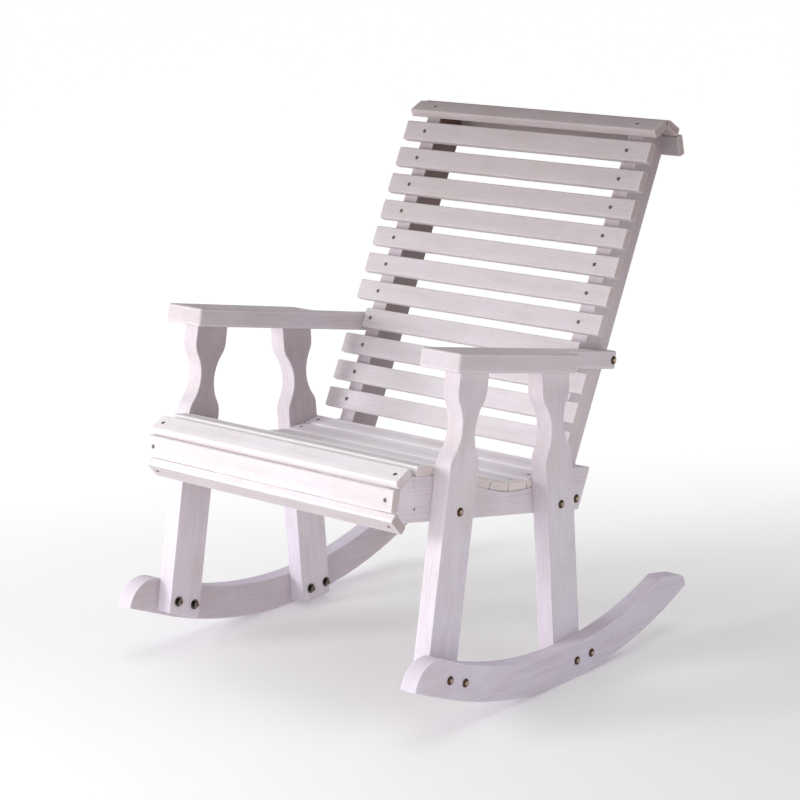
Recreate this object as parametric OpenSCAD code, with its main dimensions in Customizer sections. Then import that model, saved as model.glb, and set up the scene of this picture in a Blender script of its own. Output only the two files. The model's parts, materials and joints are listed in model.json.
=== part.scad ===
// Slatted rocking chair with scalloped legs, paddle arms and a rolled seat front and back top.
// The front faces -Y, the sitter's left is +X, the floor is z = 0 and x = 0 is the mirror plane.
// Side shapes are drawn level, in a (y, z) plane whose y = 0 is the front of the arms,
// and the finished chair is then leaned back to the angle at which it balances when empty.

/* [Lumber] */
// Thickness of the frame boards
board_t = 38.1; // [34:0.1:42]
// Width of the legs and the seat rails
board_w = 88.9; // [84:0.1:94]
// Width of the back uprights
upright_w = 82.6; // [78:0.1:90]
// Thickness of every slat
slat_t = 19.05; // [17:0.05:21]
// Width of the back, roll and edge slats
slat_w = 44.45; // [42:0.05:47]
// Width of the slats in the middle of the seat
wide_slat_w = 57.15; // [54:0.05:59]
// Radius that eases the long edges of the slats
slat_edge_r = 4; // [1:0.5:6]

/* [Width] */
// Distance between the two back uprights
back_gap = 511.6; // [480:0.1:560]
// Gap that keeps a slat's end clear of the board beside it
end_gap = 0.5; // [0.2:0.1:2]

/* [Rockers] */
// Radius of the curve that meets the floor
rocker_r = 1007; // [980:1:1040]
// Distance of the curve's centre behind the front of the arms
rocker_y = 274; // [265:1:285]
// Depth of a rocker between its two curves
rocker_depth = 73; // [70:1:80]
// Radius of the front nose
nose_r = 64; // [55:1:66]
// Angle from the bottom of the curve to the centre of the nose
nose_angle = 14.8; // [14:0.1:16]
// Angle from the bottom of the curve to where the front of its underside runs straight
straight_angle = 12.5; // [11:0.5:14]
// Radius of the rear tip
tip_r = 30; // [25:1:34]
// Distance of the rear tip's centre behind the front of the arms
tip_y = 829; // [800:1:840]
// Height of the rear tip's centre in the level drawing
tip_z = 182; // [176:1:184]
// Gap that the legs keep above the bottom of the rocker
leg_lift = 8; // [5:0.5:12]

/* [Legs] */
// Distance of the front leg behind the front of the arms
front_leg_y = 34.4; // [30:0.1:40]
// Distance of the rear leg's top behind the front of the arms
rear_leg_y = 293.4; // [285:0.1:300]
// Backward rake of the rear leg
rear_leg_rake = 14.7; // [10:0.1:18]
// Distance from the underside of the arm to the middle of the scallops
scallop_drop = 112; // [100:1:120]
// Depth of each scallop
scallop_depth = 24; // [15:0.5:26]
// Radius of the hollow part of a scallop
scallop_r = 85; // [70:1:100]
// Radius of the round shoulders beside a scallop
shoulder_r = 45; // [30:1:60]

/* [Arms] */
// Height of the top of the arms in the level drawing
arm_top = 688.5; // [670:0.5:700]
// Width of the paddle
arm_w = 98; // [90:1:106]
// Length of the paddle
paddle_len = 385; // [385:1:395]
// Length of the whole arm
arm_len = 606; // [603:1:612]
// Radius of the paddle's corners
paddle_r = 6; // [4:1:25]
// Radius of the corners of the narrow tail
tail_r = 8; // [4:1:12]

/* [Seat] */
// Height of the underside of the seat rails in the level drawing
rail_z = 356.5; // [345:0.5:370]
// Distance of the front edge slat ahead of the front of the arms
edge_slat_y = 16; // [14:0.5:18]
// Distance of the seat's hollow behind the front of the arms
hollow_y = 32; // [31:0.5:34]
// Slope of the front of the hollow
hollow_slope = 10.5; // [9:0.1:12]
// Radius of the rear of the hollow
hollow_r = 390; // [370:1:410]
// Depth of the hollow
hollow_depth = 41; // [38:0.5:43]
// Distance from one middle slat to the next
seat_pitch = 62; // [60:0.5:63]
// Distance of the seat rail's nose ahead of the front of the arms
nose_y = 61; // [56:0.5:64]
// Slope of the upper and lower slats of the rolled front
roll_slope = 38.5; // [36:0.5:41]
// Height of the middle of the rail's nose in the level drawing
nose_z = 397.5; // [396:0.5:399]
// Distance from the nose's top corner to the middle of the upper roll slat
upper_roll_at = 19; // [18:0.1:21]
// Distance from the nose's bottom corner to the middle of the lower roll slat
lower_roll_at = 16; // [15:0.1:17]

/* [Back] */
// Backward rake of the back
back_rake = 15.7; // [13:0.1:18]
// Distance of the uprights' feet behind the front of the arms
upright_y = 443.2; // [442:0.1:448]
// Distance from one back slat to the next, along the uprights
back_pitch = 63; // [61:0.1:65]
// Distance along the uprights from their feet to the centre of the highest slat
top_slat_q = 773; // [770:0.5:776]
// Distance of the ridge of the rolled top behind the front of the arms
ridge_y = 692; // [688:0.5:700]
// Height of the ridge in the level drawing
ridge_z = 1161; // [1155:1:1170]
// Slope of the front slat of the rolled top
top_front_slope = 34; // [31:1:37]
// Slope of the middle slat of the rolled top
top_middle_slope = -20; // [-23:1:-17]
// Slope of the rear slat of the rolled top
top_rear_slope = -66; // [-70:1:-62]

/* [Fasteners] */
// Diameter of the carriage bolts
bolt_d = 7.9; // [6:0.1:10]
// Diameter of the carriage bolts' domed heads
bolt_head_d = 18; // [16:0.5:20]
// Height of the domed heads
bolt_head_h = 4.4; // [3:0.1:5]
// Diameter of the wood screws' heads
screw_head_d = 8; // [6:0.5:9]
// Depth of the wood screws' heads below the face of the wood
screw_sink = 0.8; // [0.3:0.1:1.5]
// Distance of the bolts that hold the front leg to the rocker behind the front of the arms
front_rocker_bolts_y = 82; // [76:1:86]
// Distance of the bolts that hold the rear leg to the rocker behind the front of the arms
rear_rocker_bolts_y = 501; // [494:1:506]
// Height of the bolts through the seat rails in the level drawing
rail_bolt_z = 380; // [376:1:384]
// Distance of the bolt at the foot of the uprights behind the front of the arms
foot_bolt_y = 516; // [480:1:518]
// Distance of the bolt through the arms' tails behind the front of the arms
arm_bolt_y = 593; // [560:1:594]

/* [Rest] */
// Backward lean at which the empty chair balances
rest_lean = 10.13; // [0:0.01:12]
// Distance of the middle of the chair's length behind the rocker's centre
middle_y = 12.3; // [0:0.1:60]

/* [Hidden] */
$fn = 96;

wood = "#d9d2d6";
steel = "#8d7a66";
back_slat_count = 11;
seat_slat_count = 8;

// The boards of each side stand face to face, from the upright outwards to the rocker
x_upright = back_gap / 2;
x_rail = x_upright + board_t;
x_leg = x_rail + board_t;
x_rocker = x_leg + board_t;
x_outside = x_rocker + board_t;
slat_half = x_leg - end_gap;
short_slat_half = x_rail - end_gap;

straight_sink = 0.05;
rocker_mid_r = rocker_r - rocker_depth / 2;
rocker_top_r = rocker_r - rocker_depth;
leg_top = arm_top - board_t;
rail_top = rail_z + board_w;
rear_leg_w = board_w / cos(rear_leg_rake);
far = 2000;

// Screws and bolts
screw_len = 45;
screw_d = 4.2;
screw_gap = 0.05;
head_rim = 0.4;
bolt_hole_d = bolt_d + 0.4;
nut_w = 14.5;
nut_h = 6.7;
washer_d = 22;
washer_h = 1.6;
bolt_end = 3;
grip = 2 * board_t;

// ---- the chair's resting place ----

// Leans the level drawing back about the rockers' centre and stands it on the floor
module rested() {
    translate([0, -middle_y, rocker_r])
    rotate([-rest_lean, 0, 0])
    translate([0, -rocker_y, -rocker_r])
    children();
}

// The left or right one of a pair: +1 is the sitter's left
module side(s) {
    rested()
    mirror([s < 0 ? 1 : 0, 0, 0])
    children();
}

// A board cut to a (y, z) outline, from x outwards
module board(x, t = board_t) {
    translate([x, 0, 0])
    rotate([90, 0, 90])
    linear_extrude(height = t)
    children();
}

// ---- fasteners ----

// Solid round z with a flat top of radius head_r at height top, and a shank of radius r
module screw_shape(top, head_r, r, length) {
    rotate_extrude()
    polygon([
        [0, top],
        [head_r, top],
        [head_r, -screw_sink - head_rim],
        [r, -screw_sink - head_rim - (head_r - r)],
        [r, -length + r],
        [0, -length]]);
}

// Wood screw whose head lies just under the origin and whose shank runs down -z
module screw() {
    screw_shape(-screw_sink, screw_head_d / 2, screw_d / 2, screw_len);
}

// The countersunk hole that the screw sits in
module screw_hole() {
    g = screw_gap;
    screw_shape(1, screw_head_d / 2 + g, screw_d / 2 + g, screw_len + g);
}

// Carriage bolt along +x: its domed head stands on the face at the origin, pointing -x
module bolt() {
    dome_r = (pow(bolt_head_d / 2, 2) + pow(bolt_head_h, 2)) / (2 * bolt_head_h);
    rotate([0, 90, 0]) {
        cylinder(d = bolt_d, h = grip + washer_h + nut_h + bolt_end);
        intersection() {
            translate([0, 0, dome_r - bolt_head_h])
            sphere(r = dome_r);
            translate([0, 0, -bolt_head_h])
            cylinder(d = bolt_head_d, h = bolt_head_h);
        }
    }
}

// Washer on the far face of the two boards that a bolt holds
module washer() {
    translate([grip, 0, 0])
    rotate([0, 90, 0])
    difference() {
        cylinder(d = washer_d, h = washer_h);
        translate([0, 0, -1])
        cylinder(d = bolt_hole_d, h = washer_h + 2);
    }
}

// Hexagon nut on the washer
module nut() {
    translate([grip + washer_h, 0, 0])
    rotate([0, 90, 0])
    difference() {
        cylinder(d = nut_w, h = nut_h, $fn = 6);
        translate([0, 0, -1])
        cylinder(d = bolt_d + 2 * screw_gap, h = nut_h + 2);
    }
}

module bolt_hole() {
    translate([-1, 0, 0])
    rotate([0, 90, 0])
    cylinder(d = bolt_hole_d, h = grip + 2);
}

// Puts a bolt, its hole, washer or nut through the two boards inside the face at x
module bolt_at(x, y, z) {
    translate([x, y, z])
    mirror([1, 0, 0])
    children();
}

// ---- places of the bolts, as [y, z] in the level drawing ----

front_leg_mid = front_leg_y + board_w / 2;
function rear_leg_mid(z) = rear_leg_y + rear_leg_w / 2 + (leg_top - z) * tan(rear_leg_rake);
function on_rocker(y, r) = [y, rocker_r - sqrt(r * r - pow(y - rocker_y, 2))];
rocker_bolt_step = 24.5;
rocker_bolt_spots = [
    for (y = [front_rocker_bolts_y, rear_rocker_bolts_y], m = [-1, 1])
    on_rocker(y + m * rocker_bolt_step, rocker_mid_r)];
rail_bolt_spots = [
    [front_leg_mid, rail_bolt_z],
    [rear_leg_mid(rail_bolt_z), rail_bolt_z]];
foot_bolt = [foot_bolt_y, rail_bolt_z];
arm_bolt = [arm_bolt_y, arm_top - board_t / 2];

module each_spot(x, spots) {
    for (p = spots)
        bolt_at(x, p[0], p[1])
        children();
}

// ---- rockers ----

// Children in a frame on the curve's centre that points down at the start of the straight front
module at_straight() {
    translate([rocker_y, rocker_r])
    rotate(-straight_angle)
    children();
}

// Everything below the round part of a rocker's underside, behind its straight front
module below_round() {
    difference() {
        at_straight()
        translate([0, -far])
        square([far, far]);
        translate([rocker_y, rocker_r])
        circle(r = rocker_r, $fn = 360);
    }
}

module rocker_outline() {
    nose_c = [
        rocker_y - (rocker_top_r + nose_r) * sin(nose_angle),
        rocker_r - (rocker_top_r + nose_r) * cos(nose_angle)];
    difference() {
        intersection() {
            // Everything above the line of the straight front
            at_straight()
            translate([-far, straight_sink - rocker_r])
            square([2 * far, 2 * far]);
            union() {
                translate(nose_c)
                circle(r = nose_r);
                translate([tip_y, tip_z])
                circle(r = tip_r);
                // Between a line through the nose's centre and the tip's centre, under its top
                polygon([
                    [rocker_y, rocker_r],
                    [rocker_y - far * sin(nose_angle), rocker_r - far * cos(nose_angle)],
                    [tip_y, rocker_r - far * cos(nose_angle)],
                    [tip_y, tip_z + tip_r],
                    [rocker_y, tip_z + tip_r]]);
            }
        }
        below_round();
        translate([rocker_y, rocker_r])
        circle(r = rocker_top_r, $fn = 360);
    }
}

module rocker(s) {
    color(wood)
    side(s)
    difference() {
        board(x_rocker)
        rocker_outline();
        each_spot(x_outside, rocker_bolt_spots)
        bolt_hole();
    }
}

// ---- legs ----

// Space beside a leg's edge that its scallop takes away; the leg lies on the +x side
module scallop() {
    reach = scallop_r - scallop_depth + shoulder_r;
    span = sqrt(pow(scallop_r + shoulder_r, 2) - reach * reach);
    share = scallop_r / (scallop_r + shoulder_r);
    tangent = [scallop_depth - scallop_r + reach * share, span * share];
    translate([scallop_depth - scallop_r, 0])
    circle(r = scallop_r);
    difference() {
        polygon([
            [-1, -span],
            [0, -span],
            [tangent[0], -tangent[1]],
            [tangent[0], tangent[1]],
            [0, span],
            [-1, span]]);
        for (m = [-1, 1])
            translate([shoulder_r, m * span])
            circle(r = shoulder_r);
    }
}

// Strip of a leg in its own frame: top centre at the origin, running down -y
module leg_strip() {
    difference() {
        translate([-board_w / 2, -far])
        square([board_w, far + board_w]);
        for (m = [0, 1])
            mirror([m, 0])
            translate([-board_w / 2, -scallop_drop])
            scallop();
    }
}

// Trims a leg level under the arm and round above the floor
module leg_trim() {
    intersection() {
        translate([-far / 2, 0])
        square([far, leg_top]);
        translate([rocker_y, rocker_r])
        circle(r = rocker_r - leg_lift, $fn = 360);
        children();
    }
}

module front_leg(s) {
    color(wood)
    side(s)
    difference() {
        board(x_leg)
        leg_trim()
        translate([front_leg_mid, leg_top])
        leg_strip();
        leg_holes();
    }
}

module rear_leg(s) {
    color(wood)
    side(s)
    difference() {
        board(x_leg)
        leg_trim()
        translate([rear_leg_mid(leg_top), leg_top])
        rotate(rear_leg_rake)
        leg_strip();
        leg_holes();
    }
}

module leg_holes() {
    each_spot(x_outside, rocker_bolt_spots)
    bolt_hole();
    each_spot(x_rocker, rail_bolt_spots)
    bolt_hole();
}

// ---- arms ----

// Plan of the left arm: a paddle with round corners and a tail beside the upright
module arm_plan() {
    translate([x_rail, 0])
    union() {
        difference() {
            square([arm_w, paddle_len]);
            corner_cut([0, 0], paddle_r, 0);
            corner_cut([arm_w, 0], paddle_r, 90);
            corner_cut([arm_w, paddle_len], paddle_r, 180);
        }
        difference() {
            square([board_t, arm_len]);
            corner_cut([0, 0], paddle_r, 0);
            corner_cut([0, arm_len], tail_r, 270);
            corner_cut([board_t, arm_len], tail_r, 180);
        }
        // Round inside corner between the paddle and the tail
        translate([board_t, paddle_len])
        difference() {
            square(paddle_r);
            translate([paddle_r, paddle_r])
            circle(r = paddle_r);
        }
    }
}

// What rounding takes off an outer corner at p; turn 0 is the corner at the lower left
module corner_cut(p, r, turn) {
    translate(p)
    rotate(turn)
    difference() {
        translate([-1, -1])
        square(r + 1);
        translate([r, r])
        circle(r = r);
    }
}

module armrest(s) {
    color(wood)
    side(s)
    difference() {
        translate([0, 0, leg_top])
        linear_extrude(height = board_t)
        arm_plan();
        bolt_at(x_leg, arm_bolt[0], arm_bolt[1])
        bolt_hole();
    }
}

// ---- seat rails and their slats ----

hollow_drop = hollow_depth - hollow_r * (1 - cos(hollow_slope));
hollow_join_y = hollow_y + hollow_drop / tan(hollow_slope);
hollow_mid_y = hollow_join_y + hollow_r * sin(hollow_slope);
hollow_mid_z = rail_top - hollow_depth + hollow_r;

// Height of the rail's top edge under the seat
function rail_edge(y) =
    y < hollow_y ? rail_top :
    y < hollow_join_y ? rail_top - (y - hollow_y) * tan(hollow_slope) :
    hollow_mid_z - sqrt(hollow_r * hollow_r - pow(y - hollow_mid_y, 2));

// Rear edge of the upright at height z
function upright_rear(z) = upright_y + upright_w / cos(back_rake) + (z - rail_z) * tan(back_rake);

// The nose that the rolled front wraps around
nose_half = 25;
nose_top_z = nose_z + nose_half;
nose_low_z = nose_z - nose_half;
nose_top_y = -nose_y + (rail_top - nose_top_z) / tan(roll_slope);
nose_low_y = -nose_y + (nose_low_z - rail_z) / tan(roll_slope);

module rail_outline() {
    difference() {
        polygon([
            [nose_low_y, rail_z],
            [-nose_y, nose_low_z],
            [-nose_y, nose_top_z],
            [nose_top_y, rail_top],
            [upright_rear(rail_top), rail_top],
            [upright_rear(rail_z), rail_z]]);
        polygon([
            [hollow_y, rail_top],
            [hollow_join_y, rail_edge(hollow_join_y)],
            [hollow_mid_y, rail_edge(hollow_join_y)],
            [hollow_mid_y, rail_top + 1],
            [hollow_y, rail_top + 1]]);
        translate([hollow_mid_y, hollow_mid_z])
        circle(r = hollow_r, $fn = 360);
    }
}

module seat_rail(s) {
    color(wood)
    side(s)
    difference() {
        board(x_rail)
        rail_outline();
        each_spot(x_rocker, rail_bolt_spots)
        bolt_hole();
        bolt_at(x_leg, foot_bolt[0], foot_bolt[1])
        bolt_hole();
        seat_screw_spots()
        screw_hole();
        rail_screw_spot()
        screw_hole();
    }
}

// A small screw in the rail's outer face, behind the rolled front
rail_screw_spot = [-13, 383];
rail_screw_scale = 0.6;

module rail_screw_spot() {
    translate([x_leg, rail_screw_spot[0], rail_screw_spot[1]])
    rotate([0, 90, 0])
    scale(rail_screw_scale)
    children();
}

// A slat lies with its lower front edge at [y, z] and rises by slope: [y, z, slope, width]
// and stands a hair off the rail, because a straight slat can't follow the hollow
seat_lift = 0.02;
function chord_slope(y, w) = atan((rail_edge(y + w) - rail_edge(y)) / w);
function chord_again(y, w, a) =
    atan((rail_edge(y + w * cos(a)) - rail_edge(y)) / (w * cos(a)));
function seat_slat_place(i) =
    let(w = i == 1 || i == seat_slat_count ? slat_w : wide_slat_w)
    let(y = i == 1 ? -edge_slat_y : hollow_y + 1 + (i - 2) * seat_pitch)
    let(a = i == 1 ? 0 : chord_again(y, w, chord_again(y, w, chord_slope(y, w))))
    [y, rail_edge(y) + seat_lift, a, w];

// A slat whose inner face is centred on [y, z]
function centred(y, z, slope) =
    [y - slat_w / 2 * cos(slope), z - slat_w / 2 * sin(slope), slope, slat_w];
front_roll_rise = 2.3;
upper_roll = centred(
    -nose_y + upper_roll_at * cos(roll_slope),
    nose_top_z + upper_roll_at * sin(roll_slope),
    roll_slope);
front_roll = centred(-nose_y, nose_z + front_roll_rise, 90);
lower_roll = centred(
    -nose_y + lower_roll_at * cos(roll_slope),
    nose_low_z - lower_roll_at * sin(roll_slope),
    180 - roll_slope);

// Section of a slat, from its lower front edge: w along x and slat_t up
module slat_section(w) {
    r = slat_edge_r;
    translate([r, 0])
    square([w - 2 * r, slat_t]);
    translate([0, r])
    square([w, slat_t - 2 * r]);
    for (x = [r, w - r], y = [r, slat_t - r])
        translate([x, y])
        circle(r = r);
}

// A slat across the chair, half long each side of the mirror plane
module slat(place, half) {
    translate([0, place[0], place[1]])
    rotate([place[2], 0, 0])
    translate([-half, 0, 0])
    rotate([90, 0, 90])
    linear_extrude(height = 2 * half)
    slat_section(place[3]);
}

// The place of the screw that holds a slat down at x
module slat_screw_spot(place, x) {
    translate([x, place[0], place[1]])
    rotate([place[2], 0, 0])
    translate([0, place[3] / 2, slat_t])
    children();
}

module both_ends() {
    children();
    mirror([1, 0, 0])
    children();
}

module slat_with_holes(place, half, x) {
    color(wood)
    rested()
    difference() {
        slat(place, half);
        both_ends()
        slat_screw_spot(place, x)
        screw_hole();
    }
}

seat_screw_x = x_rail + board_t / 2;
back_screw_x = x_upright + board_t / 2;

seat_places = concat(
    [for (i = [1:seat_slat_count]) seat_slat_place(i)],
    [upper_roll, front_roll, lower_roll]);

module seat_screw_spots() {
    for (place = seat_places)
        slat_screw_spot(place, seat_screw_x)
        children();
}

module seat_slat(i) {
    slat_with_holes(seat_slat_place(i), slat_half, seat_screw_x);
}

module seat_roll(place) {
    slat_with_holes(place, slat_half, seat_screw_x);
}

// ---- back uprights and their slats ----

// Places on the uprights' front face, q above the feet, seen from the front
function on_upright(q) = [upright_y + q * sin(back_rake), rail_z + q * cos(back_rake)];
function back_slat_place(i) =
    let(q = top_slat_q - (i - 1) * back_pitch)
    let(p = on_upright(q - slat_w / 2))
    [p[0], p[1], 90 - back_rake, slat_w];

// Faces of the rolled top, from the ridge forwards, then back and down
function along(slope, d) = [d * cos(slope), d * sin(slope)];
ridge = [ridge_y, ridge_z];
heel = ridge + along(top_middle_slope, slat_w + end_gap);
top_front = ridge - along(top_front_slope, slat_w + end_gap);
top_middle = ridge + along(top_middle_slope, end_gap);
top_rear = heel + along(top_rear_slope, end_gap);
top_places = [
    [top_front[0], top_front[1], top_front_slope, slat_w],
    [top_middle[0], top_middle[1], top_middle_slope, slat_w],
    [top_rear[0], top_rear[1], top_rear_slope, slat_w]];

module upright_outline() {
    intersection() {
        translate([upright_y, rail_z])
        rotate(-back_rake)
        translate([0, -far / 2])
        square([upright_w, far]);
        translate([0, rail_z])
        square(far);
        polygon([
            ridge - along(top_front_slope, far),
            ridge,
            heel,
            heel + along(top_rear_slope, far)]);
    }
}

module back_upright(s) {
    color(wood)
    side(s)
    difference() {
        board(x_upright)
        upright_outline();
        bolt_at(x_leg, foot_bolt[0], foot_bolt[1])
        bolt_hole();
        bolt_at(x_leg, arm_bolt[0], arm_bolt[1])
        bolt_hole();
        back_screw_spots()
        screw_hole();
        top_screw_spots()
        screw_hole();
    }
}

module back_screw_spots() {
    for (i = [1:back_slat_count])
        slat_screw_spot(back_slat_place(i), back_screw_x)
        children();
}

module top_screw_spots() {
    for (place = top_places)
        slat_screw_spot(place, back_screw_x)
        children();
}

// The slat level with the arms is cut short so that the arms' tails pass beside it
short_slat = 8;

module back_slat(i) {
    slat_with_holes(
        back_slat_place(i),
        i == short_slat ? short_slat_half : slat_half,
        back_screw_x);
}

module top_roll(i) {
    slat_with_holes(top_places[i], slat_half, back_screw_x);
}

// ---- groups of fasteners ----

module fasteners() {
    color(steel)
    rested()
    both_ends()
    children();
}

module rocker_fasteners() {
    fasteners()
    each_spot(x_outside, rocker_bolt_spots)
    children();
}

module rail_fasteners() {
    fasteners()
    each_spot(x_rocker, rail_bolt_spots)
    children();
}

module back_fasteners() {
    fasteners()
    each_spot(x_leg, [foot_bolt, arm_bolt])
    children();
}

module back_slat_screws() {
    fasteners()
    back_screw_spots()
    screw();
}

module seat_slat_screws() {
    fasteners()
    seat_screw_spots()
    screw();
}

module top_roll_screws() {
    fasteners()
    top_screw_spots()
    screw();
}

module rail_screws() {
    fasteners()
    rail_screw_spot()
    screw();
}

// ---- nodes ----

rocker(1);  // rocker_left
rocker(-1);  // rocker_right
front_leg(1);  // front_leg_left
front_leg(-1);  // front_leg_right
rear_leg(1);  // rear_leg_left
rear_leg(-1);  // rear_leg_right
seat_rail(1);  // seat_rail_left
seat_rail(-1);  // seat_rail_right
back_upright(1);  // back_upright_left
back_upright(-1);  // back_upright_right
armrest(1);  // armrest_left
armrest(-1);  // armrest_right
back_slat(1);  // back_slat_1
back_slat(2);  // back_slat_2
back_slat(3);  // back_slat_3
back_slat(4);  // back_slat_4
back_slat(5);  // back_slat_5
back_slat(6);  // back_slat_6
back_slat(7);  // back_slat_7
back_slat(8);  // back_slat_8
back_slat(9);  // back_slat_9
back_slat(10);  // back_slat_10
back_slat(11);  // back_slat_11
seat_slat(1);  // seat_slat_1
seat_slat(2);  // seat_slat_2
seat_slat(3);  // seat_slat_3
seat_slat(4);  // seat_slat_4
seat_slat(5);  // seat_slat_5
seat_slat(6);  // seat_slat_6
seat_slat(7);  // seat_slat_7
seat_slat(8);  // seat_slat_8
seat_roll(upper_roll);  // seat_roll_upper
seat_roll(front_roll);  // seat_roll_front
seat_roll(lower_roll);  // seat_roll_lower
top_roll(0);  // top_roll_front
top_roll(1);  // top_roll_middle
top_roll(2);  // top_roll_rear
rocker_fasteners() bolt();  // rocker_bolts
rocker_fasteners() washer();  // rocker_washers
rocker_fasteners() nut();  // rocker_nuts
rail_fasteners() bolt();  // rail_bolts
rail_fasteners() washer();  // rail_washers
rail_fasteners() nut();  // rail_nuts
back_fasteners() bolt();  // back_bolts
back_fasteners() washer();  // back_washers
back_fasteners() nut();  // back_nuts
back_slat_screws();
seat_slat_screws();
top_roll_screws();
rail_screws();
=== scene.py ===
"""The looks of a whitewashed slatted rocking chair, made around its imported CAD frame.

Every board and slat is made again from the outline of its CAD node, with eased edges, pockets for its
screws and its own grain. Bolts, nuts, washers and screws are made where their CAD solids stand.
"""

import json
import math
import random

import bmesh
import bpy
import numpy as np
from mathutils import Matrix, Vector

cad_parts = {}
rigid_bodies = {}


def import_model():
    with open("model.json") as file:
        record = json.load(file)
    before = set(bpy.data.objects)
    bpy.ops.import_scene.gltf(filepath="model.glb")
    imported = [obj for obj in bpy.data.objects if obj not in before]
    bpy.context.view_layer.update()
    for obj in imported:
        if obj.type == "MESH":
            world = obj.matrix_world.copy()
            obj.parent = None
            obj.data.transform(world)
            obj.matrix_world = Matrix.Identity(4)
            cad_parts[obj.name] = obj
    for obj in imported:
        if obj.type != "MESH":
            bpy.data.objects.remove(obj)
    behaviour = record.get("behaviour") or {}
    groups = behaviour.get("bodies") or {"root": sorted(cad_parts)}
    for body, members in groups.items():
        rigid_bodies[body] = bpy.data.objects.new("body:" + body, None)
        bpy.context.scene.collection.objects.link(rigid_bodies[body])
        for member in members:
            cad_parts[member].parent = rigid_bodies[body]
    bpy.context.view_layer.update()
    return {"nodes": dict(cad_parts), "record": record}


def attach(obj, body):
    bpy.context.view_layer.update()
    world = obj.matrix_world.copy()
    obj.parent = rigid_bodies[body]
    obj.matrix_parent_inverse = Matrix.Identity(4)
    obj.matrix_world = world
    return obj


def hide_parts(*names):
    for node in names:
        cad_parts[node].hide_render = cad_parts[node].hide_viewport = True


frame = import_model()

MM = 0.001
X = Vector((1, 0, 0))
# Edges that bend by more than this are shaded as sharp
SHARP_ANGLE = math.radians(32)
random.seed(7)

# The chair leans back at rest, and its arms' tops say by how much
MOUNTS = {mount["name"]: mount for mount in frame["record"]["mounts"]}
ARM_UP = Vector(MOUNTS["armrest_top_left"]["axis"]).normalized()
SLOTS = {sub["node"]: sub["material_slot"] for sub in frame["record"]["subparts"]}


# ---- materials ----


class Shader:
    """A material's nodes, with short names for the ones used here."""

    def __init__(self, name):
        self.material = bpy.data.materials.new(name)
        self.material.use_nodes = True
        self.tree = self.material.node_tree
        self.principled = self.tree.nodes["Principled BSDF"]

    def put(self, kind, inputs=None, **settings):
        node = self.tree.nodes.new(kind)
        for key, value in settings.items():
            setattr(node, key, value)
        for key, value in (inputs or {}).items():
            self.feed(node.inputs[key], value)
        return node

    def feed(self, socket, value):
        if isinstance(value, bpy.types.NodeSocket):
            self.tree.links.new(value, socket)
        else:
            socket.default_value = value

    def attribute(self, name, output="Fac"):
        return self.put("ShaderNodeAttribute", attribute_name=name).outputs[output]

    def math(self, operation, a, b=0.0, c=0.0, clamp=False):
        node = self.put("ShaderNodeMath", {0: a, 1: b, 2: c}, operation=operation)
        node.use_clamp = clamp
        return node.outputs[0]

    def vector(self, operation, a, b=(0, 0, 0), output="Vector"):
        return self.put("ShaderNodeVectorMath", {0: a, 1: b}, operation=operation).outputs[output]

    def noise(self, vector, scale, detail=3.0, rough=0.5, output="Fac"):
        inputs = {"Vector": vector, "Scale": scale, "Detail": detail, "Roughness": rough}
        return self.put("ShaderNodeTexNoise", inputs).outputs[output]

    def span(self, value, low, high, to_low=0.0, to_high=1.0):
        """value between low and high becomes to_low to to_high, clamped."""
        inputs = {"Value": value, "From Min": low, "From Max": high, "To Min": to_low, "To Max": to_high}
        return self.put("ShaderNodeMapRange", inputs).outputs["Result"]

    def ramp(self, value, low, high):
        """value between low and high becomes 0 to 1, slowly at both ends."""
        inputs = {"Value": value, "From Min": low, "From Max": high}
        return self.put("ShaderNodeMapRange", inputs, interpolation_type="SMOOTHSTEP").outputs["Result"]

    def blend(self, factor, a, b, kind="MIX"):
        node = self.put("ShaderNodeMix", data_type="RGBA", blend_type=kind)
        self.feed(node.inputs[0], factor)
        self.feed(node.inputs[6], a)
        self.feed(node.inputs[7], b)
        return node.outputs[2]

    def bump(self, height, distance, strength=1.0, normal=None):
        node = self.put("ShaderNodeBump", {"Height": height, "Distance": distance, "Strength": strength})
        if normal is not None:
            self.feed(node.inputs["Normal"], normal)
        return node.outputs["Normal"]

    def finish(self, **sockets):
        for key, value in sockets.items():
            self.feed(self.principled.inputs[key.replace("_", " ")], value)
        return self.material


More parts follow.
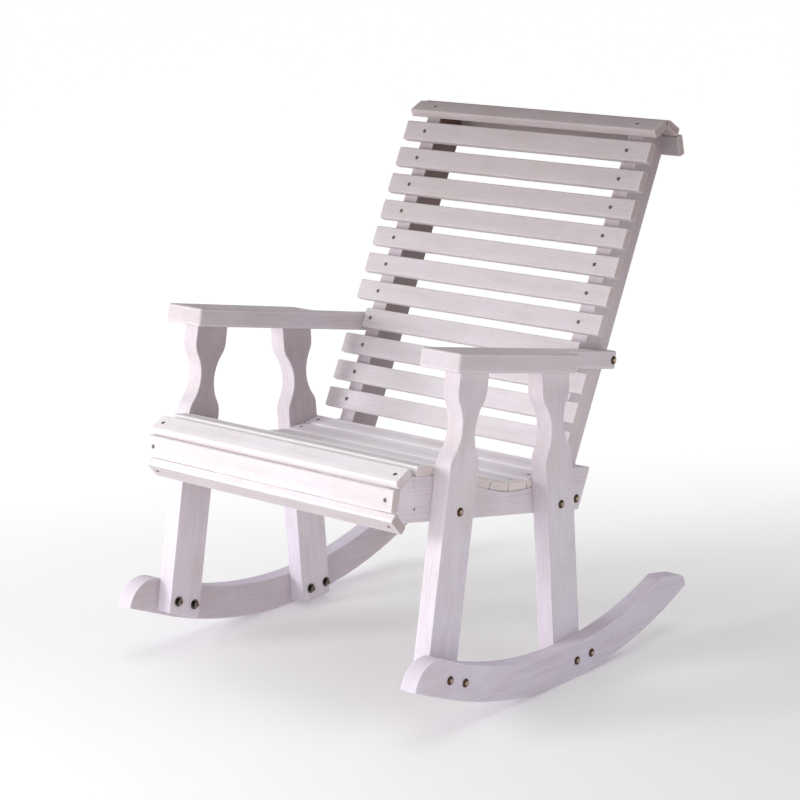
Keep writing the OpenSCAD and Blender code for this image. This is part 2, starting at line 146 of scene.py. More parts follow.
def whitewashed_wood(name, light, streak, ring_width=3.6 * MM):
    """Softwood under a thin white stain. The grain attribute holds a point's place in its own board:
    x runs along the board, and y and z are measured from the tree's heart."""
    s = Shader(name)
    grain = s.attribute("grain", "Vector")
    edge = s.attribute("edge")
    end = s.attribute("end")
    tint = s.attribute("tint")
    aged = s.attribute("aged")
    nosing = s.attribute("nosing")

    def drawn_out(along, across, detail, rough=0.5, output="Fac"):
        """Noise with this many features in a metre along the board and across it."""
        return s.noise(s.vector("MULTIPLY", grain, (along, across, across)), 1.0, detail, rough, output)

    # Growth rings: distance from the heart, bent by slow noise that runs with the grain
    bend = drawn_out(1.3, 9.0, 2.0, output="Color")
    bend = s.vector("SUBTRACT", bend, (0.5, 0.5, 0.5))
    bend = s.vector("MULTIPLY", bend, (0.0, 0.034, 0.034))
    place = s.put("ShaderNodeSeparateXYZ", {0: s.vector("ADD", grain, bend)})
    across = s.math("POWER", place.outputs[1], 2.0)
    across = s.math("ADD", across, s.math("POWER", place.outputs[2], 2.0))
    heart = s.math("SQRT", across)
    ring_noise = drawn_out(0.6, 60.0, 2.0)
    turns = s.math("MULTIPLY_ADD", heart, 1 / ring_width, s.math("MULTIPLY", ring_noise, 1.8))
    phase = s.math("FRACT", turns)
    late = s.math("MULTIPLY", s.span(phase, 0.30, 0.90), s.span(phase, 1.0, 0.92))
    # Rings show through in some places and are hidden under the stain in others
    shown = s.span(drawn_out(3.0, 26.0, 3.0), 0.36, 0.64, 0.25, 1.0)
    late = s.math("MULTIPLY", late, shown)

    # Fibres: streaks many times longer than they are wide
    fibre = drawn_out(14.0, 520.0, 4.0, 0.62)
    fine = drawn_out(70.0, 950.0, 3.0, 0.7)
    pores = s.span(drawn_out(90.0, 1300.0, 1.0), 0.67, 0.80)
    # How thickly the stain was brushed on
    brushed = drawn_out(6.0, 60.0, 3.0)
    cloudy = s.noise(grain, 9.0, 4.0, 0.6)

    shade = s.math("MULTIPLY", late, 0.16)
    shade = s.math("ADD", shade, s.span(fibre, 0.32, 0.74, 0.0, 0.26))
    shade = s.math("ADD", shade, s.span(fine, 0.38, 0.72, 0.0, 0.27))
    shade = s.math("MULTIPLY", shade, s.span(brushed, 0.30, 0.70, 0.60, 1.20))
    shade = s.math("ADD", shade, s.span(cloudy, 0.35, 0.70, 0.0, 0.16))
    shade = s.math("ADD", shade, s.math("MULTIPLY", pores, 0.22))
    shade = s.math("ADD", shade, s.math("MULTIPLY", end, 0.34))
    shade = s.math("ADD", shade, s.math("MULTIPLY", tint, 0.16), clamp=True)
    colour = s.blend(shade, light, streak)
    warm = s.blend(s.span(cloudy, 0.30, 0.70), (0.98, 0.97, 1.0, 1), (1.0, 0.985, 0.965, 1))
    colour = s.blend(1.0, colour, warm, "MULTIPLY")
    # Painted highlight: the rounded edges along the boards, the seat slats most, are made paler
    colour = s.blend(nosing, colour, (0.98, 0.94, 0.945, 1))

    # Painted shade: the upper boards, the inner faces and the undersides are made darker and browner, and
    # the lowest parts paler and bluer as painted light from the floor
    colour = s.blend(1.0, colour, s.blend(s.span(aged, 0.0, 1.0), WHITE, SHADE_TINT), "MULTIPLY")
    colour = s.blend(1.0, colour, s.blend(s.span(aged, 1.0, 2.0), WHITE, DEEP_SHADE_TINT), "MULTIPLY")
    colour = s.blend(1.0, colour, s.blend(s.span(aged, -0.1, -0.9), WHITE, FLOOR_LIGHT_TINT), "MULTIPLY")
    colour = s.blend(1.0, colour, s.blend(end, WHITE, SAWN), "MULTIPLY")

    # Corners where handling has thinned the stain
    worn = drawn_out(22.0, 120.0, 4.0, 0.65)
    worn = s.math("MULTIPLY", s.span(worn, 0.56, 0.68), s.span(edge, 0.25, 0.9))
    colour = s.blend(s.math("MULTIPLY", worn, 0.30), colour, (0.50, 0.39, 0.30, 1))
    # A pale line beside each eased edge, a painted highlight where the rounding turns to the light
    rim = s.math("MULTIPLY", s.span(edge, 0.05, 0.35), s.span(edge, 0.95, 0.55))
    colour = s.blend(s.math("MULTIPLY", rim, 0.30), colour, (0.90, 0.87, 0.90, 1))

    rough = s.span(fibre, 0.30, 0.75, 0.56, 0.74)
    rough = s.math("ADD", rough, s.math("MULTIPLY", late, -0.06))
    relief = s.math("MULTIPLY", fibre, -0.55)
    relief = s.math("ADD", relief, s.math("MULTIPLY", fine, -0.25))
    relief = s.math("ADD", relief, s.math("MULTIPLY", late, 0.35))
    relief = s.math("ADD", relief, s.math("MULTIPLY", pores, -0.8))
    normal = s.bump(relief, 0.00035, 0.75)
    return s.finish(Base_Color=colour, Roughness=rough, Normal=normal, Specular_IOR_Level=0.30)


def metal_with_tarnish_and_painted_light(name, base, tarnish_and_shade, metallic, low_rough, high_rough, dirt_at=0.52):
    """Metal with blotches of tarnish and fine scratches. Where the mask attribute is 1 it is darkened to
    the tarnish colour, partly tarnish and partly painted shade, and where it is 0 the bright base is left
    as a painted highlight."""
    s = Shader(name)
    rim = s.attribute("rim")
    place = s.put("ShaderNodeTexCoord").outputs["Object"]
    blotch = s.noise(place, 260.0, 5.0, 0.62)
    scratch = s.noise(s.vector("MULTIPLY", place, (900.0, 3600.0, 700.0)), 1.0, 2.0)
    grime = s.span(blotch, dirt_at, dirt_at + 0.14)
    colour = s.blend(grime, base, tarnish_and_shade)
    colour = s.blend(s.span(scratch, 0.62, 0.72, 0.0, 0.3), colour, base)
    colour = s.blend(s.span(rim, 0.05, 0.60, 0.0, 0.93), colour, tarnish_and_shade)
    rough = s.span(blotch, 0.30, 0.70, low_rough, high_rough)
    height = s.math("MULTIPLY_ADD", scratch, 0.4, blotch)
    normal = s.bump(height, 0.00012, 0.6)
    return s.finish(Base_Color=colour, Roughness=rough, Normal=normal, Metallic=metallic)


# How painted shade, deeper painted shade, painted light from the floor and sawn ends change the wood's
# colour, and the heights where the painted shade is 0 and 1
WHITE = (1.0, 1.0, 1.0, 1)
SHADE_TINT = (0.53, 0.485, 0.475, 1)
DEEP_SHADE_TINT = (0.28, 0.18, 0.14, 1)
SAWN = (0.95, 0.87, 0.85, 1)
FLOOR_LIGHT_TINT = (1.03, 1.05, 1.12, 1)
SHADE_FROM, SHADE_TO = 0.52, 1.08

MATERIALS = {
    "frame_wood": whitewashed_wood(
        "frame_wood_look", light=(0.86, 0.80, 0.86, 1), streak=(0.52, 0.44, 0.47, 1)
    ),
    "slat_wood": whitewashed_wood(
        "slat_wood_look", light=(0.92, 0.89, 0.925, 1), streak=(0.60, 0.54, 0.56, 1)
    ),
    # The bronze base is bright, so that the domes' crowns, left at the base colour, stand as a painted
    # highlight
    "bronzed_steel": metal_with_tarnish_and_painted_light(
        "bronzed_steel_look", base=(0.74, 0.55, 0.41, 1), tarnish_and_shade=(0.045, 0.025, 0.018, 1),
        metallic=1.0, low_rough=0.14, high_rough=0.26, dirt_at=0.66
    ),
    "plated_steel": metal_with_tarnish_and_painted_light(
        "plated_steel_look", base=(0.50, 0.46, 0.42, 1), tarnish_and_shade=(0.04, 0.034, 0.03, 1),
        metallic=1.0, low_rough=0.18, high_rough=0.34, dirt_at=0.54
    ),
    "dark_steel": metal_with_tarnish_and_painted_light(
        "dark_steel_look", base=(0.13, 0.11, 0.10, 1), tarnish_and_shade=(0.05, 0.04, 0.035, 1),
        metallic=0.9, low_rough=0.35, high_rough=0.55
    ),
}


# ---- reading the CAD nodes ----


def middle_of(points):
    """The mean of some points."""
    return sum(points, Vector()) / len(points)


def welded(node):
    """A CAD node's mesh with its seams closed."""
    mesh = bmesh.new()
    mesh.from_mesh(frame["nodes"][node].data)
    bmesh.ops.remove_doubles(mesh, verts=mesh.verts, dist=1e-6)
    return mesh


def cap_outline(mesh, axis):
    """The outer edge of the flat end that faces along axis, as a loop of points."""
    reach = max(v.co.dot(axis) for v in mesh.verts)
    cap = [
        face
        for face in mesh.faces
        if face.normal.dot(axis) > 0.999 and abs(face.verts[0].co.dot(axis) - reach) < 1e-5
    ]
    members = set(cap)
    after = {}
    for face in cap:
        for corner in face.loops:
            if not any(other in members for other in corner.edge.link_faces if other is not face):
                after[corner.vert] = corner.link_loop_next.vert
    loops = []
    while after:
        start, vert = after.popitem()
        loop = [start.co.copy()]
        while vert is not start:
            loop.append(vert.co.copy())
            vert = after.pop(vert)
        loops.append(loop)

    def length(loop):
        return sum((a - b).length for a, b in zip(loop, loop[1:] + loop[:1]))

    return max(loops, key=length)


def separate_solids(node):
    """The points of each separate solid in a CAD node."""
    mesh = welded(node)
    unseen = set(mesh.verts)
    solids = []
    for start in mesh.verts:
        if start not in unseen:
            continue
        unseen.remove(start)
        stack = [start]
        found = []
        while stack:
            vert = stack.pop()
            found.append(vert.co.copy())
            for link in vert.link_edges:
                other = link.other_vert(vert)
                if other in unseen:
                    unseen.remove(other)
                    stack.append(other)
        solids.append(found)
    mesh.free()

    def place(points):
        return tuple(round(c, 4) for c in middle_of(points))

    return sorted(solids, key=place)


def long_axis(points):
    """The direction in which a set of points is longest."""
    table = np.array([tuple(p) for p in points])
    table -= table.mean(0)
    return Vector(np.linalg.svd(table, full_matrices=False)[2][0]).normalized()


# ---- boards ----


def sharp_turns(points, least_turn=math.radians(35), roomy=12 * MM):
    """Which corners of a flat outline are to be rounded, and which have room beside them for a flat
    margin: a list of None or (room before, room after)."""
    found = []
    for i, here in enumerate(points):
        before, behind = points[i - 1] - here, points[(i + 1) % len(points)] - here
        if math.pi - before.angle(behind) < least_turn:
            found.append(None)
        else:
            found.append((before.length > roomy, behind.length > roomy))
    return found


def rounded_corners(points, turns, radius, margin=1.5 * MM, steps=4, short=3 * MM):
    """The points of a flat outline with its sharp corners rounded, each with how far it is round a
    corner. The margins keep the rounding's shading off the flat faces."""
    made = []
    for i, here in enumerate(points):
        before, behind = points[i - 1] - here, points[(i + 1) % len(points)] - here
        if turns[i] is None:
            # A run of short edges is a corner that is round already
            made.append((here, ((before.length < short) + (behind.length < short)) / 2))
            continue
        turn = math.pi - before.angle(behind)
        reach = min(radius * math.tan(turn / 2), before.length * 0.45, behind.length * 0.45)
        first = here + before.normalized() * reach
        last = here + behind.normalized() * reach
        if turns[i][0]:
            made.append((first + before.normalized() * margin, 0.0))
        for step in range(steps + 1):
            t = step / steps
            point = first * (1 - t) ** 2 + here * (2 * t * (1 - t)) + last * t**2
            made.append((point, math.sin(math.pi * t)))
        if turns[i][1]:
            made.append((last + behind.normalized() * margin, 0.0))
    return made


def moved_in(points, distance):
    """A flat outline, anticlockwise, moved inwards by distance with its corners mitred."""
    made = []
    count = len(points)
    for i, here in enumerate(points):
        a = (here - points[i - 1]).normalized()
        b = (points[(i + 1) % count] - here).normalized()
        inward_a, inward_b = Vector((-a.y, a.x)), Vector((-b.y, b.x))
        mitre = (inward_a + inward_b) / max(0.4, 1 + inward_a.dot(inward_b))
        made.append(here + mitre * distance)
    return made


def ring_places(thick, ease, steps=4, margin=2.2 * MM):
    """(distance in, height, how much it is an edge) of each ring of a board with eased edges."""
    half = [(ease + margin, 0.0, 0.0)]
    for step in range(steps + 1):
        turn = math.pi / 2 * step / steps
        half.append((ease * (1 - math.sin(turn)), ease * (1 - math.cos(turn)), 1.0))
    half[1] = half[1][:2] + (0.5,)
    half[-1] = half[-1][:2] + (0.5,)
    half.append((0.0, ease + margin, 0.0))
    return half + [(inset, thick - height, edge) for inset, height, edge in reversed(half)]


# What set_fields has to know about each board
FIELDS = {}


def board(node, axis, ease, corner, run, end=0.0, aged=0.0, caps=(0.0, 0.0), edge_highlight=0.3, below=0.0):
    """A board with the outline that a CAD node has across axis, its sharp corners rounded by the
    radius corner and the edges of its caps by ease. run is the direction of its grain, end marks
    caps that are sawn ends, and the painted shade argument adds to the painted shade that its height
    gives. caps adds more painted shade to the faces that are farthest from and nearest to the chair's
    middle, and below to all but the upper edge. The highlight argument is how pale the painted
    highlight is on the corners along the board."""
    cap_rings, upper_edge = 4, 2.5 * MM
    mesh = welded(node)
    loop = cap_outline(mesh, axis)
    low = min(v.co.dot(axis) for v in mesh.verts)
    high = max(v.co.dot(axis) for v in mesh.verts)
    mesh.free()
    side = axis.orthogonal().normalized()
    up = axis.cross(side)
    flat = [Vector((p.dot(side), p.dot(up))) for p in loop]

    middle = middle_of(loop) + axis * ((low + high) / 2 - loop[0].dot(axis))
    depth = min((axis, side, up), key=lambda d: abs(d.dot(run)))
    depth = (depth - run * depth.dot(run)).normalized()
    width = run.cross(depth)
    shift = Vector((random.uniform(0, 9), random.uniform(-0.03, 0.03), random.uniform(0.05, 0.13)))

    made = bmesh.new()
    edge_layer = made.verts.layers.float.new("edge")
    end_layer = made.verts.layers.float.new("end")
    nosing_layer = made.verts.layers.float.new("nosing")
    rings = []
    turns = sharp_turns(flat)
    places = ring_places(high - low, ease)
    for number, (inset, height, edge) in enumerate(places):
        ring = []
        for point, nosing in rounded_corners(moved_in(flat, inset), turns, max(corner - inset, 0.1 * MM)):
            vert = made.verts.new(side * point.x + up * point.y + axis * (low + height))
            vert[edge_layer] = edge
            vert[end_layer] = end if min(number, len(places) - 1 - number) < cap_rings else 0.0
            vert[nosing_layer] = nosing * edge_highlight
            ring.append(vert)
        rings.append(ring)
    made.faces.new(rings[0][::-1])
    made.faces.new(rings[-1])
    for lower, upper in zip(rings, rings[1:]):
        for i in range(len(lower)):
            j = (i + 1) % len(lower)
            made.faces.new((lower[i], lower[j], upper[j], upper[i]))
    finished = piece(made, node + "_board", node)
    sideways = [abs(v.co.x) for v in finished.data.vertices]
    faces = (max(sideways), min(sideways))
    rise = width if width.z > 0 else -width
    lower = (rise, max(v.co.dot(rise) for v in finished.data.vertices) - upper_edge, below)
    FIELDS[finished.name] = (middle, (run, width, depth), shift, random.random(), aged, faces, caps, lower)
    set_fields(finished)


def set_fields(made, close=0.6 * MM):
    """Gives each point of a board its place in the grain, its board's tint and its painted shade.
    Points that are this close to a face belong to it."""
    middle, axes, shift, tint, aged, faces, caps, (rise, edge, below) = FIELDS[made.name]
    data = made.data
    points = np.empty(len(data.vertices) * 3)
    data.vertices.foreach_get("co", points)
    points = points.reshape(-1, 3)
    grain = (points - np.array(middle)) @ np.array([tuple(axis) for axis in axes]).T + np.array(shift)
    shade_level = (points[:, 2] - SHADE_FROM) / (SHADE_TO - SHADE_FROM) + aged
    for face, extra in zip(faces, caps):
        shade_level += extra * (np.abs(np.abs(points[:, 0]) - face) < close)
    shade_level += below * (points @ np.array(rise) < edge)
    fields = {
        "grain": ("FLOAT_VECTOR", "vector", grain),
        "tint": ("FLOAT", "value", np.full(len(points), tint)),
        "aged": ("FLOAT", "value", np.clip(shade_level, -1, 2)),
    }
    for name, (kind, key, values) in fields.items():
        layer = data.attributes.get(name) or data.attributes.new(name, kind, "POINT")
        layer.data.foreach_set(key, values.ravel())


def smooth(data):
    """Smooth shading up to the sharp edges."""
    data.polygons.foreach_set("use_smooth", [True] * len(data.polygons))
    data.set_sharp_from_angle(angle=SHARP_ANGLE)


def piece(mesh, name, *nodes):
    """A finished piece of the chair, which stands for the CAD nodes it is named for."""
    bmesh.ops.recalc_face_normals(mesh, faces=mesh.faces)
    data = bpy.data.meshes.new(name)
    mesh.to_mesh(data)
    mesh.free()
    smooth(data)
    made = bpy.data.objects.new(name, data)
    bpy.context.scene.collection.objects.link(made)
    slot = SLOTS[nodes[0]]
    data.materials.append(MATERIALS[slot])
    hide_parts(*nodes)
    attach(made, "root")
    return made


# ---- fasteners ----


def placed(origin, axis):
    """The matrix that puts z = 0 at origin and +z along axis."""
    turn = axis.to_track_quat("Z", "Y").to_matrix().to_4x4()
    return Matrix.Translation(origin) @ turn


def lathe(mesh, matrix, heights, radius_at, around=48, closed=True, rims=None):
    """A surface round z with a ring of points at each height, which may be a function of the turn.
    radius_at(turn, number of the height) says how far out it is, and rims how much each ring is darkened,
    as tarnish and painted shade."""
    rim_layer = mesh.verts.layers.float.get("rim") or mesh.verts.layers.float.new("rim")
    rings = []
    for number, height in enumerate(heights):
        ring = []
        for k in range(around):
            turn = 2 * math.pi * k / around
            r = radius_at(turn, number)
            z = height(turn) if callable(height) else height
            vert = mesh.verts.new(matrix @ Vector((r * math.cos(turn), r * math.sin(turn), z)))
            vert[rim_layer] = rims[number] if rims else 0.0
            ring.append(vert)
        rings.append(ring)
    for lower, upper in zip(rings, rings[1:]):
        for i in range(around):
            j = (i + 1) % around
            mesh.faces.new((lower[i], lower[j], upper[j], upper[i]))
    if closed:
        mesh.faces.new(rings[0][::-1])
        mesh.faces.new(rings[-1])
    else:
        for i in range(around):
            j = (i + 1) % around
            mesh.faces.new((rings[-1][i], rings[-1][j], rings[0][j], rings[0][i]))


def turned(mesh, matrix, profile, around=48, closed=True, rims=None):
    """A surface round z through a list of (height, radius)."""
    heights = [height for height, _ in profile]
    lathe(mesh, matrix, heights, lambda turn, number: profile[number][1], around, closed, rims)


def carriage_bolts(node):
    """Domed bolts with a threaded end."""
    shank_r, dome_h, rim_h = 3.95 * MM, 4.4 * MM, 0.7 * MM
    threaded, pitch, thread_depth, chamfer = 17 * MM, 1.41 * MM, 0.55 * MM, 0.9 * MM
    thread_steps, dome_steps = 84, 9
    mesh = bmesh.new()
    for points in separate_solids(node):
        middle = middle_of(points)
        low, high = min(p.x for p in points), max(p.x for p in points)
        ys, zs = [p.y for p in points], [p.z for p in points]
        centre = Vector((0, (min(ys) + max(ys)) / 2, (min(zs) + max(zs)) / 2))
        head_r = (max(zs) - min(zs)) / 2
        outward = X if middle.x > 0 else -X
        tip = (low if middle.x > 0 else high) * outward.x
        top = (high if middle.x > 0 else low) * outward.x
        matrix = placed(centre + X * tip * outward.x, outward)
        length = top - tip
        face = length - dome_h
        profile = [(threaded * step / thread_steps, "thread") for step in range(thread_steps + 1)]
        profile += [(face, shank_r), (face, head_r - 0.35 * MM), (face + 0.25 * MM, head_r)]
        profile.append((face + rim_h, head_r - 0.05 * MM))
        for step in range(1, dome_steps):
            turn = math.pi / 2 * step / dome_steps
            r = (head_r - 0.25 * MM) * math.cos(turn)
            profile.append((face + rim_h + (dome_h - rim_h) * math.sin(turn), r))
        profile.append((length, 0.6 * MM))

        def radius_at(turn, number):
            height, r = profile[number]
            if r != "thread":
                return r
            wave = abs(((height / pitch - turn / (2 * math.pi)) % 1.0) - 0.5) * 2
            start = min(1.0, height / (1.2 * MM))
            return shank_r - chamfer * (1 - start) - thread_depth * wave

        # Painted highlight: the dome is darkened towards its rim, as tarnish and painted shade, and its
        # crown keeps the bright base
        rims = [0.5 if r == "thread" else min(1.0, r / head_r) for _, r in profile]
        lathe(mesh, matrix, [height for height, _ in profile], radius_at, 40, rims=rims)
    return piece(mesh, node + "_detailed", node)


def washers(node, inner=4.15 * MM, soft=0.35 * MM):
    """Flat rings with soft edges."""
    mesh = bmesh.new()
    for points in separate_solids(node):
        centre, half, outer = ring_size(points)
        profile = [
            (-half, inner), (-half, outer - soft), (-half + soft, outer), (half - soft, outer),
            (half, outer - soft), (half, inner + soft), (half - soft, inner)
        ]
        turned(mesh, placed(centre, X), profile, closed=False, rims=[0.5] * len(profile))
    return piece(mesh, node + "_detailed", node)


def ring_size(points):
    """Centre, half thickness and outer radius of a solid whose hole runs along x."""
    low = Vector(min(p[k] for p in points) for k in range(3))
    high = Vector(max(p[k] for p in points) for k in range(3))
    outer = max((Vector((0, p.y, p.z)) - Vector((0, *((low + high) / 2).yz))).length for p in points)
    return (low + high) / 2, (high.x - low.x) / 2, outer


def hex_nuts(node, bore=4.05 * MM):
    """Six-sided nuts whose corners are chamfered."""
    mesh = bmesh.new()
    for points in separate_solids(node):
        centre, half, outer = ring_size(points)
        flat_r = outer * math.cos(math.pi / 6)
        chamfer = (outer - flat_r) * 0.62
        profile = [
            (-half, bore + 0.3 * MM), (-half, flat_r), (-half + chamfer, outer),
            (half - chamfer, outer), (half, flat_r), (half, bore + 0.5 * MM), (half - 0.6 * MM, bore)
        ]
        corner = Matrix.Rotation(hex_turn(points, centre, outer), 4, "Z")

        def radius_at(turn, number):
            side = flat_r / math.cos((turn % (math.pi / 3)) - math.pi / 6)
            return min(profile[number][1], side)

        # The sides are darkened, as tarnish and painted shade, and one end face is left brightest round
        # the hole as a painted highlight
        rims = [0.5, 0.3, 0.6, 0.6, 0.3, 0.0, 0.5]
        lathe(mesh, placed(centre, X) @ corner, [h for h, _ in profile], radius_at, 72, False, rims)
    return piece(mesh, node + "_detailed", node)


def hex_turn(points, centre, outer):
    """How far a nut's first corner is turned about x."""
    back = placed(centre, X).inverted()
    for point in points:
        place = back @ point
        if abs(Vector((place.x, place.y)).length - outer) < 1e-5:
            return math.atan2(place.y, place.x)
    return 0.0


def screw_places(node):
    """(centre of the head's top, outward axis, head radius) of each wood screw in a CAD node."""
    places = []
    for points in separate_solids(node):
        axis = long_axis(points)
        middle = middle_of(points)
        along = [(p - middle).dot(axis) for p in points]
        if abs(min(along)) > max(along):
            wide_end = max(along)
        else:
            axis, wide_end = -axis, -min(along)
        off = [((p - middle) - axis * (p - middle).dot(axis)).length for p in points]
        places.append((middle + axis * wide_end, axis, max(off)))
    return places


def wood_screws(node):
    """Flat screw heads with a dished rim and a cross recess."""
    cross_depth, dish_depth, rings = 1.9 * MM, 0.18 * MM, 9
    mesh = bmesh.new()
    for top, axis, head_r in screw_places(node):
        spin = Matrix.Rotation(random.uniform(0, math.pi), 4, "Z")
        matrix = placed(top, axis) @ spin
        cross_reach, cross_half = head_r * 0.62, head_r * 0.17

        def recess(turn, r):
            """How deep the cross is at a point of the head."""
            x, y = abs(r * math.cos(turn)), abs(r * math.sin(turn))
            arm, half = max(x, y), min(x, y)
            inside = (1 - min(1.0, arm / cross_reach)) * max(0.0, 1 - (half / cross_half) ** 4)
            return -cross_depth * min(1.0, inside * 1.6)

        # The cone under the head, its side and its rim, and then rings that go down into the recess
        heights = [-1.6 * MM, -0.35 * MM, 0.0]
        outs = [head_r * 0.55, head_r, head_r * 0.95]
        for k in range(rings - 2, 0, -1):
            r = head_r * k / rings
            dish = -dish_depth * (1 - (r / head_r) ** 2)
            heights.append(lambda turn, r=r, dish=dish: dish + recess(turn, r))
            outs.append(r)
        lathe(mesh, matrix, heights, lambda turn, number: outs[number])
    return piece(mesh, node + "_detailed", node)


def cut_pockets(boards, screws):
    """Countersinks each screw's hole into the boards it enters from outside."""
    for made in boards:
        centre = middle_of([Vector(corner) for corner in made.bound_box])
        reach = max(made.dimensions) / 2 + 0.01
        cutter = bmesh.new()
        for top, axis, head_r in screws:
            if (top - centre).length > reach or not near_surface(made, top, axis):
                continue
            profile = [
                (-1.3 * MM, head_r * 0.8), (-0.2 * MM, head_r + 0.25 * MM),
                (0.9 * MM, head_r + 0.55 * MM), (3.0 * MM, head_r + 1.4 * MM)
            ]
            turned(cutter, placed(top, axis), profile, 32)
        if cutter.verts:
            bmesh.ops.recalc_face_normals(cutter, faces=cutter.faces)
            carve(made, cutter)
        else:
            cutter.free()


def near_surface(made, top, axis):
    """Whether a screw's head lies just under this board's face."""
    hit, place, normal, _ = made.closest_point_on_mesh(top)
    return hit and (place - top).length < 1.5 * MM and normal.dot(axis) > 0.9


def carve(made, cutter):
    """Takes the cutter away from a board and keeps the board's material and edges."""
    data = bpy.data.meshes.new("cutter")
    cutter.to_mesh(data)
    cutter.free()
    tool = bpy.data.objects.new("cutter", data)
    bpy.context.scene.collection.objects.link(tool)
    change = made.modifiers.new("pockets", "BOOLEAN")
    change.object = tool
    change.operation = "DIFFERENCE"
    change.solver = "EXACT"
    bpy.context.view_layer.update()
    shaped = made.evaluated_get(bpy.context.evaluated_depsgraph_get())
    new = bpy.data.meshes.new_from_object(shaped)
    made.modifiers.clear()
    made.data = new
    new.materials.clear()
    new.materials.append(MATERIALS[SLOTS[made.name.removesuffix("_board")]])
    smooth(new)
    set_fields(made)
    bpy.data.objects.remove(tool)


# ---- the chair ----

NODES = list(frame["nodes"])
SLATS = [node for node in NODES if SLOTS[node] == "slat_wood"]
ARMS = [node for node in NODES if node.startswith("armrest")]
SIDES = [node for node in NODES if SLOTS[node] == "frame_wood" and node not in ARMS]


def kind_of(node, kinds):
    """The values for the kind of board that a node's name starts with."""
    return next(kind for name, kind in kinds.items() if node.startswith(name))


# How round the side boards' corners are, how much painted shade they get beyond what their height
# gives, and how much more their outer and inner faces get, the inner faces most, where shade falls
SIDE_KINDS = {
    "back_upright": (1.5 * MM, -0.1, (0.3, 1.3)),
    "seat_rail": (4.5 * MM, 0.0, (0.1, 0.4)),
    "front_leg": (1.5 * MM, 0.0, (0.0, 0.5)),
    "rear_leg": (1.5 * MM, -0.1, (0.1, 0.6)),
    "rocker": (1.5 * MM, -0.1, (0.05, 1.2)),
}
for node in SIDES:
    shape = welded(node)
    run = long_axis(cap_outline(shape, X))
    shape.free()
    corner, aged, caps = kind_of(node, SIDE_KINDS)
    board(node, X, ease=1.7 * MM, corner=corner, run=run, aged=aged, caps=caps)
for node in ARMS:
    board(node, ARM_UP, ease=4.0 * MM, corner=3.0 * MM, run=ARM_UP.cross(X))

# How much painted shade the slats get beyond what their height gives, how much darker their ends
# are, how pale the painted highlight is on their long edges, and how much painted shade all but the
# upper edge gets. Their outlines have round corners already.
SLAT_KINDS = {
    "back_slat": (0.0, 0.0, 0.2, 0.0),
    "seat_slat": (-0.1, 0.45, 1.0, 0.0),
    "seat_roll_upper": (0.0, 0.0, 0.4, 0.0),
    "seat_roll_front": (0.36, 0.0, 0.4, 0.0),
    "seat_roll_lower": (0.1, 0.0, 0.4, 0.72),
    "top_roll": (0.0, 0.0, 0.2, 0.0),
}
for node in SLATS:
    aged, ends, edge_highlight, below = kind_of(node, SLAT_KINDS)
    caps = (ends, 0.0)
    board(node, X, 1.4 * MM, 1.4 * MM, X, end=1.0, aged=aged, caps=caps, edge_highlight=edge_highlight, below=below)

for node in NODES:
    if node.endswith("_bolts"):
        carriage_bolts(node)
    elif node.endswith("_washers"):
        washers(node)
    elif node.endswith("_nuts"):
        hex_nuts(node)
    elif node.endswith("_screws"):
        wood_screws(node)

made_boards = [o for o in bpy.context.scene.objects if o.name.endswith("_board")]
all_screws = [place for node in NODES if node.endswith("_screws") for place in screw_places(node)]
bpy.context.view_layer.update()
cut_pockets(made_boards, all_screws)


# ---- floor, light and camera ----


def floor():
    s = Shader("pale_floor")
    place = s.put("ShaderNodeTexCoord").outputs["Object"]
    cloud = s.noise(place, 3.0, 4.0)
    fine = s.noise(place, 140.0, 3.0)
    colour = s.blend(cloud, (0.90, 0.895, 0.90, 1), (0.93, 0.925, 0.93, 1))
    # Painted light: away from the chair, and soonest behind it, the floor glows, which leaves a painted
    # shadow pool round the chair
    away = s.vector("LENGTH", place, output="Value")
    behind = s.vector("DOT_PRODUCT", place, (-0.64, 0.77, 0.0), "Value")
    painted_floor_glow = s.math("MAXIMUM", s.ramp(away, 1.4, 4.6), s.ramp(behind, -0.4, 2.2))
    material = s.finish(
        Base_Color=colour,
        Roughness=s.span(fine, 0.3, 0.7, 0.75, 0.9),
        Normal=s.bump(fine, 0.0004, 0.3),
        Specular_IOR_Level=0.2,
        Emission_Color=(1, 1, 1, 1),
        Emission_Strength=s.math("MULTIPLY_ADD", painted_floor_glow, 0.46, 0.10),
    )
    mesh = bmesh.new()
    bmesh.ops.create_grid(mesh, x_segments=8, y_segments=8, size=60.0)
    data = bpy.data.meshes.new("floor")
    mesh.to_mesh(data)
    mesh.free()
    data.materials.append(material)
    made = bpy.data.objects.new("floor", data)
    bpy.context.scene.collection.objects.link(made)


def area_light(name, place, target, size, power):
    """A soft panel of light, size being its width and height."""
    data = bpy.data.lights.new(name, "AREA")
    data.shape = "RECTANGLE"
    data.size, data.size_y = size
    data.energy = power
    light = bpy.data.objects.new(name, data)
    light.location = place
    light.rotation_euler = (Vector(target) - Vector(place)).to_track_quat("-Z", "Y").to_euler()
    light.visible_camera = False
    bpy.context.scene.collection.objects.link(light)


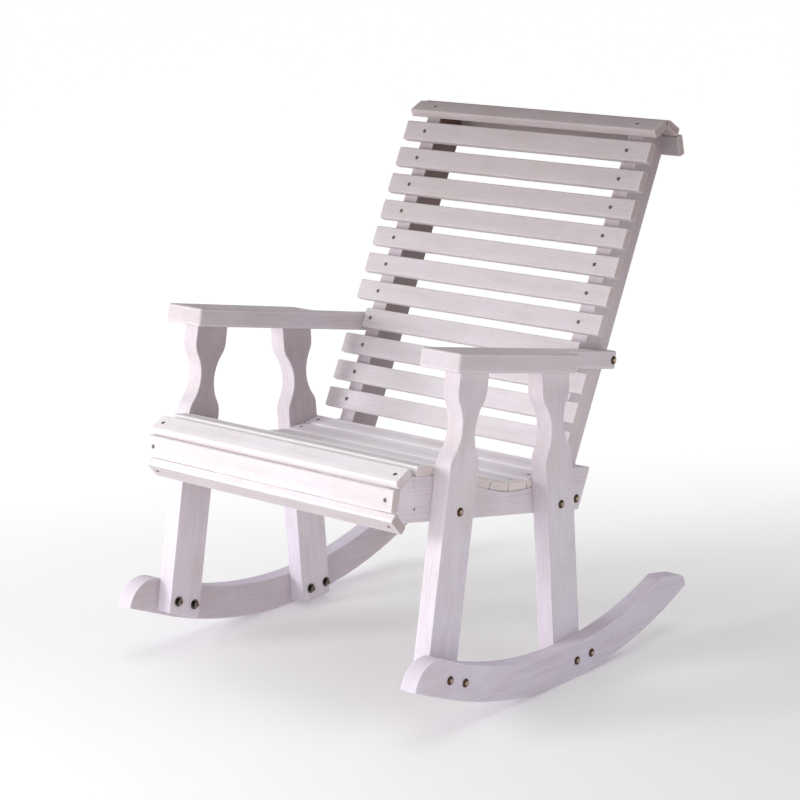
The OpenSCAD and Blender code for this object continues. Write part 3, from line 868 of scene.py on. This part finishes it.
def surroundings(around, overhead, spread, horizon):
    """A pale room that is brightest straight above and along the horizon."""
    world = bpy.data.worlds.new("studio")
    world.use_nodes = True
    tree = world.node_tree
    background = tree.nodes["Background"]
    background.inputs["Color"].default_value = (1, 1, 1, 1)
    direction = tree.nodes.new("ShaderNodeTexCoord").outputs["Generated"]
    parts = tree.nodes.new("ShaderNodeSeparateXYZ")
    tree.links.new(direction, parts.inputs[0])
    low = tree.nodes.new("ShaderNodeMapRange")
    low.interpolation_type = "SMOOTHSTEP"
    for socket, value in (("From Min", 0.16), ("From Max", 0.34), ("To Min", horizon), ("To Max", around)):
        low.inputs[socket].default_value = value
    tree.links.new(parts.outputs[2], low.inputs["Value"])
    strength = parts.outputs[2]
    steps = (("MAXIMUM", 0.0), ("POWER", spread), ("MULTIPLY", overhead), ("ADD", low.outputs["Result"]))
    for operation, value in steps:
        step = tree.nodes.new("ShaderNodeMath")
        step.operation = operation
        tree.links.new(strength, step.inputs[0])
        if operation == "ADD":
            tree.links.new(value, step.inputs[1])
        else:
            step.inputs[1].default_value = value
        strength = step.outputs[0]
    tree.links.new(strength, background.inputs["Strength"])
    bpy.context.scene.world = world


def camera(place, azimuth, elevation, roll, lens):
    """A camera that looks along its azimuth, 0 being along +Y, and down by its elevation."""
    a, e = math.radians(azimuth), math.radians(elevation)
    back = Vector((math.sin(a) * math.cos(e), -math.cos(a) * math.cos(e), math.sin(e)))
    turn = (-back).to_track_quat("-Z", "Y").to_matrix() @ Matrix.Rotation(math.radians(roll), 3, "Z")
    data = bpy.data.cameras.new("camera")
    data.sensor_width = 36
    data.lens = lens
    data.clip_end = 200
    made = bpy.data.objects.new("camera", data)
    made.matrix_world = Matrix.Translation(place) @ turn.to_4x4()
    bpy.context.scene.collection.objects.link(made)
    bpy.context.scene.camera = made


floor()
surroundings(around=0.06, overhead=1.9, spread=8, horizon=0.80)
area_light("front_strip", (0, -1.9, 0.8), (0, 0, 0.5), size=(2.8, 0.9), power=11.0)
area_light("key", (-2, -3.5, 1.6), (0, 0, 0.45), size=(1.4, 1.4), power=76)
area_light("side", (2.5, 0, 1.3), (0, 0, 0.45), size=(0.6, 0.6), power=3.2)
area_light("low_side", (2.6, 1.0, 0.5), (0.4, 0, 0.35), size=(0.42, 0.42), power=1.6)
camera((2.975, -3.5466, 1.6539), azimuth=40.43, elevation=13.66, roll=-0.39, lens=101.74)
bpy.context.scene.view_settings.view_transform = "Standard"
